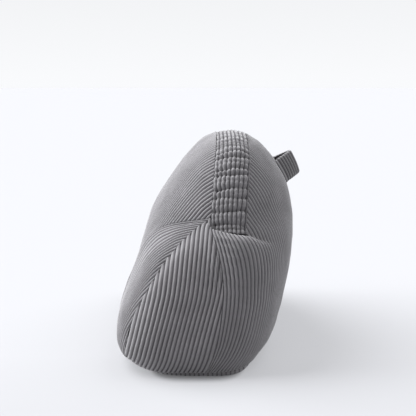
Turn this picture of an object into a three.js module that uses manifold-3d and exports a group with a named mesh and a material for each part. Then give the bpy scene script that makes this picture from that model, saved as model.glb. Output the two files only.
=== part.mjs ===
// Lumbar pillow in wide-wale corduroy, standing by itself on its flat base.
// Millimetres. X runs along the pillow, Y from its front (-) to its back (+), Z up.
// The origin is under the middle of the pillow, on the surface that it stands on.

import * as THREE from 'three';
import Module from 'manifold-3d';

const wasm = await Module();
wasm.setup();

// Cloth
const WALE = 5.6; // pitch of the corduroy's wales
const WALE_HEIGHT = 1.3;
const PANEL_THICKNESS = 3;
const GAP = 0.6; // between a sewn-in panel and the filled body under it
const SEAM_HALF_WIDTH = 0.7; // what a panel's edge keeps from its seam
const SLANT = 1.4; // a slanted seam is this much wider when measured level or straight down
const SEAM_DEPTH = 4.5; // how deep the filling shows between two panels
const BODY_PANEL_DEPTH = 10; // how deep the front and back panels run into the filling
const BASE_THICKNESS = 3;
const BASE_GAP = 0.3; // between the base panel and the body
const BASE_INSET = 1; // how far the base panel's edge keeps inside the cloth above it

// Gathered strip over the top
const STRIP_HALF_WIDTH = 22;
const STRIP_SHIFT = -3; // its middle lies this far in front of the crest
const STRIP_END_HEIGHT = 174;
const STRIP_END_SLOPE = -0.14; // its lower end drops towards the back
const PUCKER_DEPTH = 1.4;
const PUCKER_PITCH = 20;

// Carry loop on the upper back
const LOOP_WIDTH = 34;
const LOOP_SPAN = 84;
const LOOP_RISE = 26;
const LOOP_THICKNESS = 3.2;
const LOOP_HEIGHT = 233; // of its middle, above the floor
const LOOP_FOOT = 11;
const LOOP_WALES = 24;
const LOOP_INNER_ROWS = 20;
const LOOP_ARCH_SHARE = 0.84; // of the strap, between its two feet

// Each end swells out below a valley that runs round it under the gathered strip
const VALLEY_DEPTH = 2.5;
const VALLEY_WIDTH = 12;
const SWELL_FADE = 62; // height over which the swell dies away downwards
const SWELL_FROM = 120; // distance along X where it starts
const SWELL_FULL = 180;
const VALLEY = [
  { y: -120, z: 150, swell: 0, lip: 25 },
  { y: -63, z: 169, swell: 3, lip: 22 },
  { y: -5, z: 187, swell: 5, lip: 18 },
  { y: 8, z: 178, swell: 8, lip: 12 },
  { y: 30, z: 173, swell: 8.5, lip: 11 },
  { y: 49, z: 170, swell: 8, lip: 11 },
  { y: 70, z: 156, swell: 4, lip: 18 },
  { y: 120, z: 140, swell: 0, lip: 25 },
];

// Horizontal sections from the base up: half length, front and back at mid length,
// y of the end's tip, and how square the front and back corners are
const SECTIONS = [
  { z: 0, half: 236, front: -102, back: 62, tip: -18, frontSquare: 5.0, backSquare: 4.0 },
  { z: 8, half: 242, front: -112, back: 70, tip: -14, frontSquare: 5.0, backSquare: 3.2 },
  { z: 28, half: 245, front: -120, back: 90, tip: -8, frontSquare: 5.0, backSquare: 2.8 },
  { z: 55, half: 245, front: -119, back: 100, tip: -2, frontSquare: 4.8, backSquare: 2.7 },
  { z: 85, half: 241, front: -110, back: 107, tip: 4, frontSquare: 4.4, backSquare: 2.8 },
  { z: 115, half: 233, front: -99, back: 114, tip: 12, frontSquare: 4.0, backSquare: 2.7 },
  { z: 143, half: 221, front: -91, back: 118, tip: 23, frontSquare: 3.2, backSquare: 2.5 },
  { z: 168, half: 206, front: -84, back: 119, tip: 29, frontSquare: 2.4, backSquare: 2.3 },
  { z: 192, half: 192, front: -74, back: 117, tip: 29.5, frontSquare: 2.1, backSquare: 2.1 },
  { z: 222, half: 178, front: -55, back: 110, tip: 32, frontSquare: 2.0, backSquare: 2.0 },
  { z: 250, half: 160, front: -34, back: 95, tip: 34, frontSquare: 2.0, backSquare: 2.0 },
  { z: 273, half: 134, front: -11, back: 72, tip: 36, frontSquare: 2.0, backSquare: 2.0 },
  { z: 288, half: 92, front: 14, back: 54, tip: 37, frontSquare: 2.0, backSquare: 2.0 },
  { z: 294, half: 46, front: 28, back: 45, tip: 37, frontSquare: 2.0, backSquare: 2.0 },
  { z: 295.5, half: 0, front: 37, back: 37, tip: 37, frontSquare: 2.0, backSquare: 2.0 },
];
const TOP = SECTIONS.length - 1;

// Seams of an end panel by height: y of its front seam and of its back seam, and how
// far its wales have leaned towards the front
const END_SEAMS = [
  { z: 0, frontSeam: -94, backSeam: -6, lean: -43 },
  { z: 12, frontSeam: -99, backSeam: 0, lean: -36.5 },
  { z: 25, frontSeam: -101, backSeam: 5.5, lean: -31.5 },
  { z: 42, frontSeam: -98, backSeam: 10.5, lean: -27 },
  { z: 60, frontSeam: -94, backSeam: 13.5, lean: -22.5 },
  { z: 80, frontSeam: -86, backSeam: 16.2, lean: -17.5 },
  { z: 100, frontSeam: -75.5, backSeam: 18, lean: -12.5 },
  { z: 120, frontSeam: -63.5, backSeam: 17.6, lean: -9 },
  { z: 140, frontSeam: -50, backSeam: 14.7, lean: -6.3 },
  { z: 160, frontSeam: -33.5, backSeam: 9.8, lean: -3.8 },
  { z: 177, frontSeam: -15, backSeam: 5, lean: -1.5 },
  { z: 191, frontSeam: 2, backSeam: 4, lean: 0 },
];
const APEX = 191; // height where the end panel's seams meet at the strip
const BACK_SEAM_TOP = 177;
const BACK_SEAM_GIRTH = 299; // cloth between mid length and the back seam

// Base seam. It rises at the two front corners
const BASE_SEAM = 6;
const CORNER_LIFT = 10;
const CORNER_AT = 205; // distance along X
const CORNER_WIDTH = 30;
const CORNER_FROM = 60; // distance in front of the origin where the rise starts
const CORNER_FULL = 100;

// Side-front panels: where their inner seam lies along the base, and the curve that
// their wales share
const SIDE_INNER = 100;
const SIDE_CURVE = 2.65;
const SIDE_TURN_IN = 1.5; // closer rows where a panel turns in under the front
const SIDE_WALES = 24;
const SIDE_LOW_START = 26; // height where its last wale starts
const SIDE_LOW_END = 16; // height where its last wale ends

// Back panel: its rows gather round the valley
const BACK_VALLEY = 158; // height of the row in the valley
const BACK_UPPER_LEAST = 28; // least height between that row and the panel's top
const BACK_UPPER_SHARE = 0.4; // share of its rows above the valley

const clamp = (v, lo = 0, hi = 1) => Math.min(hi, Math.max(lo, v));
const mix = (a, b, t) => a + (b - a) * t;
const smooth = (lo, hi, v) => {
  const t = clamp((v - lo) / (hi - lo));
  return t * t * (3 - 2 * t);
};

// The argument at which a function that changes sign between lo and hi is zero
function solve(f, lo, hi) {
  const rising = f(hi) > f(lo);
  for (let i = 0; i < 36; i++) {
    const mid = (lo + hi) / 2;
    if (f(mid) > 0 === rising) hi = mid;
    else lo = mid;
  }
  return (lo + hi) / 2;
}

// A smooth curve through a table's rows, at a place counted in rows
function rowAt(table, place, before, after) {
  const last = table.length - 1;
  const i = clamp(Math.floor(place), 0, last - 1);
  const f = place - i;
  const p1 = table[i];
  const p2 = table[i + 1];
  const p0 = table[i - 1] ?? before ?? p1;
  const p3 = table[i + 2] ?? after ?? p2;
  const row = {};
  for (const key of Object.keys(p1)) {
    const m1 = (p2[key] - p0[key]) / 2;
    const m2 = (p3[key] - p1[key]) / 2;
    const rise = p2[key] - p1[key];
    row[key] = p1[key] + f * (m1 + f * (3 * rise - 2 * m1 - m2 + f * (m1 + m2 - 2 * rise)));
  }
  return row;
}

// The crown closes over the top: past the last row the section comes back mirrored
const beforeBase = Object.fromEntries(
  Object.entries(SECTIONS[0]).map(([key, v]) => [key, 2 * v - SECTIONS[1][key]]),
);
const nearTop = SECTIONS[TOP - 1];
const afterTop = { ...nearTop, half: -nearTop.half, front: nearTop.back, back: nearTop.front };
const sectionByRow = (place) => rowAt(SECTIONS, place, beforeBase, afterTop);

const sectionCache = new Map();
function sectionAt(z) {
  const key = Math.round(z * 200);
  if (!sectionCache.has(key)) {
    const place = solve((p) => sectionByRow(p).z - z, 0, TOP);
    sectionCache.set(key, sectionByRow(place));
  }
  return sectionCache.get(key);
}

// A function followed by straight stretches between places where it is true
function straight(places, f) {
  const values = places.map(f);
  return (place) => {
    const i = clamp(places.findLastIndex((p) => p <= place), 0, places.length - 2);
    return mix(values[i], values[i + 1], (place - places[i]) / (places[i + 1] - places[i]));
  };
}

// The row of a table at a value of its first column
function lookUp(table, column, value) {
  const last = table.length - 1;
  const above = table.findIndex((row) => row[column] > value);
  const i = above < 0 ? last - 1 : Math.max(above - 1, 0);
  const f = (value - table[i][column]) / (table[i + 1][column] - table[i][column]);
  return rowAt(table, clamp(i + f, 0, last));
}
const endSeamsAt = (z) => lookUp(END_SEAMS, 'z', z);

// Point of a section at a polar angle from its tip, negative towards the front
function rim(section, angle) {
  const toBack = angle > 0;
  const square = toBack ? section.backSquare : section.frontSquare;
  const depth = toBack ? section.back - section.tip : section.tip - section.front;
  const c = Math.cos(angle);
  const s = Math.abs(Math.sin(angle));
  const r = ((c / section.half) ** square + (s / depth) ** square) ** (-1 / square);
  return [r * c, section.tip + Math.sign(angle) * r * s];
}

// Cloth length round half a section, from mid length in front to mid length behind
const GIRTH_STEPS = 96;
const girthCache = new Map();
function girthAt(z) {
  const key = Math.round(z * 20);
  if (!girthCache.has(key)) {
    const section = sectionAt(key / 20);
    const sums = [0];
    let last = rim(section, -Math.PI / 2);
    for (let i = 1; i <= GIRTH_STEPS; i++) {
      const next = rim(section, Math.PI * (i / GIRTH_STEPS - 0.5));
      sums.push(sums[i - 1] + Math.hypot(next[0] - last[0], next[1] - last[1]));
      last = next;
    }
    girthCache.set(key, sums);
  }
  return girthCache.get(key);
}

// Point at a cloth distance from mid length, measured round the front or the back.
// A negative distance is on the left half.
function onSection(z, distance, side) {
  const sums = girthAt(z);
  const total = sums[GIRTH_STEPS];
  const along = side === 'front' ? Math.abs(distance) : total - Math.abs(distance);
  let lo = 0;
  let hi = GIRTH_STEPS;
  while (hi - lo > 1) {
    const mid = (lo + hi) >> 1;
    if (sums[mid] > along) hi = mid;
    else lo = mid;
  }
  const f = clamp((along - sums[lo]) / (sums[hi] - sums[lo]));
  const [x, y] = rim(sectionAt(z), Math.PI * ((lo + f) / GIRTH_STEPS - 0.5));
  return [Math.sign(distance || 1) * x, y, z];
}

// Cloth distance from mid length, round the front or back, to the point at y on an end
function girthTo(y, z, side) {
  const sums = girthAt(z);
  const section = sectionAt(z);
  const angle = solve((a) => rim(section, a)[1] - y, -Math.PI / 2, Math.PI / 2);
  const place = (angle / Math.PI + 0.5) * GIRTH_STEPS;
  const i = clamp(Math.floor(place), 0, GIRTH_STEPS - 1);
  const along = mix(sums[i], sums[i + 1], place - i);
  return side === 'front' ? along : sums[GIRTH_STEPS] - along;
}

// Less than zero inside the pillow, more outside
function level(x, y, z) {
  if (z >= SECTIONS[TOP].z - 0.01) return 1;
  const section = sectionAt(Math.max(z, 0));
  const toBack = y > section.tip;
  const square = toBack ? section.backSquare : section.frontSquare;
  const depth = toBack ? section.back - section.tip : section.tip - section.front;
  const r = (Math.abs(x) / section.half) ** square + (Math.abs(y - section.tip) / depth) ** square;
  return r ** (1 / square) - 1;
}

function normalAt([x, y, z]) {
  const h = 0.5;
  const up = Math.min(z, SECTIONS[TOP].z - 2 * h);
  const n = new THREE.Vector3(
    level(x + h, y, up) - level(x - h, y, up),
    level(x, y + h, up) - level(x, y - h, up),
    level(x, y, up + h) - level(x, y, Math.max(up - h, 0)),
  );
  return n.normalize();
}

// How far the stuffed cloth stands proud of the plain section form
function swell([x, y, z]) {
  const ends = smooth(SWELL_FROM, SWELL_FULL, Math.abs(x));
  if (ends === 0) return 0;
  const valley = lookUp(VALLEY, 'y', y);
  const below = valley.z - z;
  const depth = Math.min(VALLEY_DEPTH, valley.swell);
  if (below < 0) return -ends * depth * Math.exp(-((below / VALLEY_WIDTH) ** 2));
  const lip = Math.sqrt(1 - (1 - clamp(below / valley.lip)) ** 2);
  const fade = 1 - smooth(valley.lip, SWELL_FADE, below);
  return ends * mix(-depth, valley.swell, lip) * fade;
}

function lift(point, offset, bulge = swell(point)) {
  const n = normalAt(point);
  const d = bulge + offset;
  return [point[0] + n.x * d, point[1] + n.y * d, point[2] + n.z * d];
}

const baseSeam = (y, x) => {
  const corner = Math.exp(-(((Math.abs(x) - CORNER_AT) / CORNER_WIDTH) ** 2));
  return BASE_SEAM + CORNER_LIFT * corner * smooth(CORNER_FROM, CORNER_FULL, -y);
};

const stripMiddle = (z) => sectionAt(z).tip + STRIP_SHIFT;
const stripEnd = (y) => STRIP_END_HEIGHT + STRIP_END_SLOPE * (y - stripMiddle(STRIP_END_HEIGHT));

// Panels. Each gives a point for a place across its wales and a share 0..1 down them,
// with grow widening it past its seams.

// Front panel: its wales run straight down at an even cloth distance from mid length. The
// side-front panels are let into it, and the gathered strip covers its upper edge.
const apexGirth = girthTo(END_SEAMS.at(-1).frontSeam, APEX, 'front');
const APEX_KEEP = 4.5; // what the front panel's last wale keeps from the apex
const NEAR_TOP = 292; // the highest that a panel's edge is looked for
const SLABS_FROM_STRIP = STRIP_HALF_WIDTH + SEAM_HALF_WIDTH;
const frontPanel = {
  half: apexGirth - APEX_KEEP,
  top(girth) {
    const edge = (z) => onSection(z, girth, 'front')[1] - stripMiddle(z) + SLABS_FROM_STRIP;
    return solve(edge, BACK_SEAM_TOP, NEAR_TOP);
  },
  point(girth, down) {
    return onSection(mix(this.top(girth), 0, down), girth, 'front');
  },
};

// Back panel: its wales run straight down too, drawn in where the back seam curves
const backPanel = {
  half: BACK_SEAM_GIRTH,
  place(girth, z) {
    const seamHeight = Math.min(z, BACK_SEAM_TOP);
    const seam = girthTo(endSeamsAt(seamHeight).backSeam, seamHeight, 'back');
    const far = Math.abs(girth) / BACK_SEAM_GIRTH;
    return girth + Math.sign(girth) * (seam - BACK_SEAM_GIRTH) * far ** 4;
  },
  top(girth) {
    const far = Math.abs(girth);
    const yAt = (z) => onSection(z, this.place(far, z), 'back')[1];
    const edge = (z) => yAt(z) - stripMiddle(z) - SLABS_FROM_STRIP;
    if (edge(STRIP_END_HEIGHT) > 0) return solve(edge, STRIP_END_HEIGHT, NEAR_TOP);
    return solve((z) => z - stripEnd(yAt(z)) + SEAM_HALF_WIDTH, BACK_VALLEY, APEX);
  },
  point(girth, down) {
    const top = this.top(girth);
    const valley = Math.min(BACK_VALLEY, top - BACK_UPPER_LEAST);
    const z = down < BACK_UPPER_SHARE
      ? mix(top, valley, down / BACK_UPPER_SHARE)
      : mix(valley, 0, (down - BACK_UPPER_SHARE) / (1 - BACK_UPPER_SHARE));
    return onSection(z, this.place(girth, z), 'back');
  },
};

const steps = (n, from = 0, to = 1) => Array.from({ length: n + 1 }, (_, i) => mix(from, to, i / n));

// Groove and crest lines across a panel, two to a wale
function waleLines(from, to) {
  const wales = Math.round((to - from) / WALE);
  return steps(2 * wales, from, to);
}
const pick = (lines, columns) => [...columns.map((i) => lines[i]), lines.at(-1)];

// End panel: its wales run side by side, all leaning alike. A line is a wale's y where
// it doesn't lean. Its seams bulge furthest past the lines in these two rows.
const WIDEST_FRONT = END_SEAMS[5];
const WIDEST_BACK = END_SEAMS[3];
const FOOT_ROW = END_SEAMS[1];
const END_FROM = WIDEST_FRONT.frontSeam - WIDEST_FRONT.lean - 1;
const END_TO = WIDEST_BACK.backSeam - WIDEST_BACK.lean - 1;
const endLines = waleLines(END_FROM + SEAM_HALF_WIDTH, END_TO - SEAM_HALF_WIDTH);
const endColumns = pick(endLines, [0, 1, 3, 8, 14, 20, 24, 26, 27, 30, 33, 36]);
const pastFront = (line) => (z) => endSeamsAt(z).frontSeam - endSeamsAt(z).lean - line;
const pastBack = (line) => (z) => endSeamsAt(z).backSeam - endSeamsAt(z).lean - line;
const endTop = straight(endColumns, (line) => {
  const [front, back] = [pastFront(line), pastBack(line)];
  if (front(APEX) > 0) return solve(front, WIDEST_FRONT.z - 20, APEX);
  if (back(BACK_SEAM_TOP) < 0) return solve(back, WIDEST_BACK.z + 8, BACK_SEAM_TOP);
  return mix(APEX, BACK_SEAM_TOP, front(APEX) / (front(APEX) - back(BACK_SEAM_TOP)));
});
const endFoot = straight(endColumns, (line) => {
  const base = baseSeam(line + FOOT_ROW.lean, CORNER_AT);
  const front = pastFront(line);
  return front(base) > 0 ? solve(front, base, WIDEST_BACK.z) : base;
});
function endPoint(line, down, side) {
  const z = mix(endTop(line) - SEAM_HALF_WIDTH * SLANT, endFoot(line) + SEAM_HALF_WIDTH, down);
  const y = line + endSeamsAt(z).lean;
  const [x] = onSection(z, girthTo(y, z, 'front'), 'front');
  return [side * x, y, z];
}

// Side-front panel: its wales leave the end panel's front seam one above the other and
// turn down to the base. The share is 0 at the wale that starts highest.
const lowCornerGirth = girthTo(endSeamsAt(SIDE_LOW_END).frontSeam, SIDE_LOW_END, 'front');
const SIDE_BASE_WIDTH = lowCornerGirth - SIDE_INNER;
const SIDE_SEAM_SHARE = SEAM_HALF_WIDTH / SIDE_BASE_WIDTH;
const sideLines = steps(2 * SIDE_WALES, SIDE_SEAM_SHARE, 1 - SIDE_SEAM_SHARE);
const sideColumns = pick(sideLines, [0, 4, 8, 12, 17, 22, 27, 32, 37, 42]);
const sideStart = straight(sideColumns, (share) => {
  const z = mix(APEX, SIDE_LOW_START, share);
  return girthTo(endSeamsAt(z).frontSeam, z, 'front');
});
const sideFoot = straight(sideColumns, (share) => BASE_SEAM + CORNER_LIFT * smooth(0.5, 1, share));
function sidePoint(share, down, side) {
  const start = mix(APEX, SIDE_LOW_START, share);
  const end = mix(SIDE_INNER, lowCornerGirth, share);
  const r = 1 - (1 - down) ** SIDE_TURN_IN;
  const girth = mix(end, sideStart(share) - SEAM_HALF_WIDTH * SLANT, (1 - r) ** 2);
  const z = start - (start - sideFoot(share) - SEAM_HALF_WIDTH) * r ** SIDE_CURVE;
  return onSection(z, side * girth, 'front');
}

// The crest line that the gathered strip follows, from one lower end to the other
const crest = [];
const CREST_STEPS = 160;
for (let i = 0; i <= CREST_STEPS; i++) {
  const low = solve((p) => sectionByRow(p).z - STRIP_END_HEIGHT, 0, TOP);
  const share = (i / CREST_STEPS) * 2;
  const section = sectionByRow(mix(low, TOP, share > 1 ? 2 - share : share));
  crest.push([section.half * (share > 1 ? -1 : 1), section.z, section.tip]);
}
const crestSums = [0];
for (let i = 1; i <= CREST_STEPS; i++) {
  const step = Math.hypot(crest[i][0] - crest[i - 1][0], crest[i][1] - crest[i - 1][1]);
  crestSums.push(crestSums[i - 1] + step);
}
const CREST_LENGTH = crestSums[CREST_STEPS];
const STRIP_END_REACH = 15; // power that keeps the slant of its ends near them
const SURFACE_ABOVE = 4; // the cloth is looked for this far outside and inside the crest
const SURFACE_BELOW = 40;

function stripPoint(across, along, grow) {
  const edge = stripEnd(stripMiddle(STRIP_END_HEIGHT) + across) - STRIP_END_HEIGHT;
  const ends = (2 * along - 1) ** STRIP_END_REACH;
  const distance = along * CREST_LENGTH + ends * (grow - edge);
  let i = 0;
  while (i < CREST_STEPS - 1 && crestSums[i + 1] < distance) i++;
  const f = (distance - crestSums[i]) / (crestSums[i + 1] - crestSums[i]);
  const [x, z, tip] = [0, 1, 2].map((k) => mix(crest[i][k], crest[i + 1][k], f));
  const slope = Math.atan2(crest[i + 1][1] - crest[i][1], crest[i + 1][0] - crest[i][0]);
  const nx = Math.sin(slope);
  const nz = -Math.cos(slope);
  const y = tip + STRIP_SHIFT + across;
  const inward = solve((d) => level(x - nx * d, y, z - nz * d), -SURFACE_ABOVE, SURFACE_BELOW);
  return [x - nx * inward, y, z - nz * inward];
}

// A grid of points: across holds its columns' places and down its rows' places
const grid = (across, down, point) => ({
  across,
  down,
  rows: down.map((d) => across.map((c, i) => point(c, d, i))),
});

// Triangles between two lines of points, matched by their places
function zip(faces, upper, upperPlaces, lower, lowerPlaces) {
  let i = 0;
  let j = 0;
  while (i < upper.length - 1 || j < lower.length - 1) {
    const upperNext = upperPlaces[i + 1] ?? Infinity;
    const lowerNext = lowerPlaces[j + 1] ?? Infinity;
    if (upperNext <= lowerNext) faces.push([upper[i], lower[j], upper[++i]]);
    else faces.push([upper[i], lower[j], lower[++j]]);
  }
}

// A closed body from its outer face, its inner face and a wall between their rims
function shell(outer, inner) {
  const points = [];
  const faces = [];
  const number = (face) => face.rows.map((row) => row.map((p) => points.push(p) - 1));
  const out = number(outer);
  const ins = number(inner);
  const column = (rows, k) => rows.map((row) => row.at(k));
  for (let k = 0; k + 1 < out.length; k++) {
    zip(faces, out[k], outer.across, out[k + 1], outer.across);
  }
  for (let k = 0; k + 1 < ins.length; k++) {
    zip(faces, ins[k + 1], inner.across, ins[k], inner.across);
  }
  zip(faces, ins[0], inner.across, out[0], outer.across);
  zip(faces, out.at(-1), outer.across, ins.at(-1), inner.across);
  zip(faces, column(out, 0), outer.down, column(ins, 0), inner.down);
  zip(faces, column(ins, -1), inner.down, column(out, -1), outer.down);
  return { points, faces };
}

function signedVolume({ points, faces }) {
  let sum = 0;
  for (const [a, b, c] of faces) {
    const [p, q, r] = [points[a], points[b], points[c]];
    sum += p[0] * (q[1] * r[2] - q[2] * r[1]);
    sum -= p[1] * (q[0] * r[2] - q[2] * r[0]);
    sum += p[2] * (q[0] * r[1] - q[1] * r[0]);
  }
  return sum / 6;
}

function solid(body) {
  const faces = signedVolume(body) > 0 ? body.faces : body.faces.map(([a, b, c]) => [a, c, b]);
  const mesh = new wasm.Mesh({
    numProp: 3,
    vertProperties: new Float32Array(body.points.flat()),
    triVerts: new Uint32Array(faces.flat()),
  });
  return new wasm.Manifold(mesh);
}

// A panel's sheet: ribbed outside, plain inside. Every other column is a wale's crest.
function panelSheet({ point, across, down, columns, innerDown = down, inside }) {
  const ribbed = (c, d, i) => lift(point(c, d), i % 2 ? WALE_HEIGHT : 0);
  const plain = (c, d) => lift(point(c, d), -inside);
  return solid(shell(grid(across, down, ribbed), grid(columns, innerDown, plain)));
}

const CUT_CLEARANCE = 0.75; // how far a recess is wider than its panel all round
const OVER = 6; // how far a cutter stands out of the cloth
const SEWN_DOWN = steps(7);

// The recess of a panel in the body: the panel's inner grid, widened a little all round
function recess(point, columns, down) {
  const [lastColumn, lastRow] = [columns.length - 1, down.length - 1];
  const flat = [];
  const ids = down.map((d) => columns.map((c) => flat.push(point(c, d)) - 1));
  const rim = [
    ...ids[0].slice(0, -1),
    ...ids.slice(0, -1).map((row) => row[lastColumn]),
    ...ids[lastRow].slice(1).reverse(),
    ...ids.slice(1).reverse().map((row) => row[0]),
  ];
  const at = rim.map((id) => new THREE.Vector3(...flat[id]));
  const middle = at.reduce((sum, p) => sum.add(p), new THREE.Vector3()).divideScalar(at.length);
  const outward = at.map((p, i) => {
    const [before, after] = [at.at(i - 1), at[(i + 1) % at.length]];
    const run = after.clone().sub(before).normalize();
    const corner = Math.max(run.dot(p.clone().sub(before).normalize()), 0.5);
    return run.cross(normalAt(p.toArray())).multiplyScalar(CUT_CLEARANCE / corner);
  });
  const turn = Math.sign(at.reduce((sum, p, i) => sum + outward[i].dot(p.clone().sub(middle)), 0));
  const wide = at.map((p, i) => flat.push(p.clone().addScaledVector(outward[i], turn).toArray()) - 1);

  // The floor is split into triangles as the panel's inner face is, so that both bend alike
  const floor = [];
  for (let k = 0; k < lastRow; k++) zip(floor, ids[k + 1], columns, ids[k], columns);
  const close = (loop) => [...loop, loop[0]];
  const places = steps(rim.length);
  zip(floor, close(rim), places, close(wide), places);
  const count = flat.length;
  const low = (id) => id + count;
  const wall = [];
  zip(wall, close(wide.map(low)), places, close(wide), places);
  return solid({
    points: [...flat.map((p) => lift(p, OVER)), ...flat.map((p) => lift(p, -PANEL_THICKNESS - GAP))],
    faces: [...floor.map(([a, b, c]) => [a, c, b]), ...floor.map((face) => face.map(low)), ...wall],
  });
}

// A panel let into the body, and the recess that it lies in
const sewnPanel = (point, across, columns) => ({
  sheet: panelSheet({ point, across, down: SEWN_DOWN, columns, inside: PANEL_THICKNESS }),
  cutter: recess(point, columns, SEWN_DOWN),
});

const sewn = [];
for (const [name, side] of [['right', 1], ['left', -1]]) {
  const sideFront = (share, down) => sidePoint(share, down, side);
  const end = (line, down) => endPoint(line, down, side);
  sewn.push({ name: `side_front_panel_${name}`, ...sewnPanel(sideFront, sideLines, sideColumns) });
  sewn.push({ name: `end_panel_${name}`, ...sewnPanel(end, endLines, endColumns) });
}

// The filled body between the panels
const BODY_LEVELS = [0, 10, 32, 66, 119, 146, 161, 166, 178, 190, 229, 260, 280, 291];
const BODY_HALF_AROUND = 24;
const BODY_AROUND = 2 * BODY_HALF_AROUND;
function filledCore() {
  const rings = BODY_LEVELS.map((z) => {
    const total = girthAt(z)[GIRTH_STEPS];
    return Array.from({ length: BODY_AROUND }, (_, i) => {
      const share = i / BODY_HALF_AROUND;
      const along = total * (share > 1 ? 2 - share : share);
      const [x, y] = onSection(z, along, 'front');
      const p = lift([share > 1 ? -x : x, y, z], -SEAM_DEPTH);
      return z === BODY_LEVELS[0] ? [p[0], p[1], z] : p;
    });
  });
  const points = rings.flat();
  const faces = [];
  for (let k = 0; k + 1 < rings.length; k++) {
    for (let i = 0; i < BODY_AROUND; i++) {
      const next = (i + 1) % BODY_AROUND;
      const [a, b] = [k * BODY_AROUND + i, k * BODY_AROUND + next];
      faces.push([a, b, b + BODY_AROUND], [a, b + BODY_AROUND, a + BODY_AROUND]);
    }
  }
  const low = points.push([0, sectionAt(0).tip, 0]) - 1;
  const high = points.push([0, SECTIONS[TOP].tip, SECTIONS[TOP].z - SEAM_DEPTH]) - 1;
  const lastRing = (rings.length - 1) * BODY_AROUND;
  for (let i = 0; i < BODY_AROUND; i++) {
    const next = (i + 1) % BODY_AROUND;
    faces.push([low, next, i], [high, lastRing + i, lastRing + next]);
  }
  return solid({ points, faces });
}

function meshOf(manifold, name, material) {
  const { vertProperties, triVerts } = manifold.getMesh();
  const geometry = new THREE.BufferGeometry();
  geometry.setAttribute('position', new THREE.BufferAttribute(vertProperties, 3));
  geometry.setIndex(new THREE.BufferAttribute(triVerts, 1));
  const mesh = new THREE.Mesh(geometry, material);
  mesh.name = name;
  return mesh;
}

const frontLines = waleLines(-frontPanel.half, frontPanel.half);
const FRONT_DOWN = [0, 0.067, 0.208, 0.375, 0.517, 0.775, 0.892, 0.967, 1];
const front = panelSheet({
  point: (c, d) => frontPanel.point(c, d), across: frontLines, down: FRONT_DOWN,
  columns: steps(20, frontLines[0], frontLines.at(-1)), innerDown: steps(6),
  inside: BODY_PANEL_DEPTH,
});
const backLines = waleLines(SEAM_HALF_WIDTH - backPanel.half, backPanel.half - SEAM_HALF_WIDTH);
const BACK_DOWN = [0, 0.025, 0.117, 0.208, 0.342, 0.5, 0.683, 0.883, 0.958, 1];
const back = panelSheet({
  point: (c, d) => backPanel.point(c, d), across: backLines, down: BACK_DOWN,
  columns: steps(30, backLines[0], backLines.at(-1)), innerDown: BACK_DOWN,
  inside: BODY_PANEL_DEPTH,
});

// Where the gathered strip is puckered, counted along its length
const pucker = (distance) => {
  const wave = Math.cos((2 * Math.PI * distance) / PUCKER_PITCH);
  return -PUCKER_DEPTH * clamp(wave) ** 2;
};
// The strip's ends stay down in the valley
const stripLift = (point, offset) => {
  const [x, y, z] = point;
  return lift(point, offset, swell([x, y, Math.max(z, lookUp(VALLEY, 'y', y).z)]));
};
const stripEdge = STRIP_HALF_WIDTH - SEAM_HALF_WIDTH;
const stripLines = waleLines(-stripEdge, stripEdge);
const stripDown = steps(2 * Math.round(CREST_LENGTH / PUCKER_PITCH));
const STRIP_INNER_DOWN = steps(40);
const STRIP_COLUMNS = 3;
const STRIP_OVER = 12;
const stripRibbed = grid(stripLines, stripDown, (across, along, i) => {
  const rib = i % 2 ? WALE_HEIGHT : 0;
  const fold = pucker(along * CREST_LENGTH);
  return stripLift(stripPoint(across, along, -SEAM_HALF_WIDTH), rib + fold);
});
const stripPlain = (offset, clearance) =>
  grid(
    steps(STRIP_COLUMNS, -stripEdge - clearance, stripEdge + clearance),
    STRIP_INNER_DOWN,
    (across, along) =>
      stripLift(stripPoint(across, along, clearance - SEAM_HALF_WIDTH), offset),
  );
const strip = solid(shell(stripRibbed, stripPlain(-PANEL_THICKNESS, 0)));
const stripCutter = solid(shell(
  stripPlain(STRIP_OVER, CUT_CLEARANCE),
  stripPlain(-PANEL_THICKNESS - GAP, CUT_CLEARANCE),
));

// Base panel, its edge drawn in under the cloth above it
const BASE_POINTS = 48;
function baseOutline(z) {
  const total = girthAt(z)[GIRTH_STEPS];
  return Array.from({ length: BASE_POINTS }, (_, i) => {
    const share = (2 * i) / BASE_POINTS;
    const [x, y] = onSection(z, total * (share > 1 ? 2 - share : share), 'front');
    const n = normalAt([x, y, z]);
    const inset = BASE_INSET / Math.hypot(n.x, n.y);
    const at = [x - n.x * inset, y - n.y * inset, z];
    return share > 1 ? [-at[0], at[1], z] : at;
  });
}
function basePanel() {
  const low = baseOutline(0);
  const high = baseOutline(BASE_THICKNESS);
  const points = [...low, ...high, [0, 0, 0], [0, 0, BASE_THICKNESS]];
  const faces = [];
  for (let i = 0; i < BASE_POINTS; i++) {
    const next = (i + 1) % BASE_POINTS;
    faces.push([i, next, BASE_POINTS + next], [i, BASE_POINTS + next, BASE_POINTS + i]);
    faces.push([2 * BASE_POINTS, next, i]);
    faces.push([2 * BASE_POINTS + 1, BASE_POINTS + i, BASE_POINTS + next]);
  }
  return solid({ points, faces });
}

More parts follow.
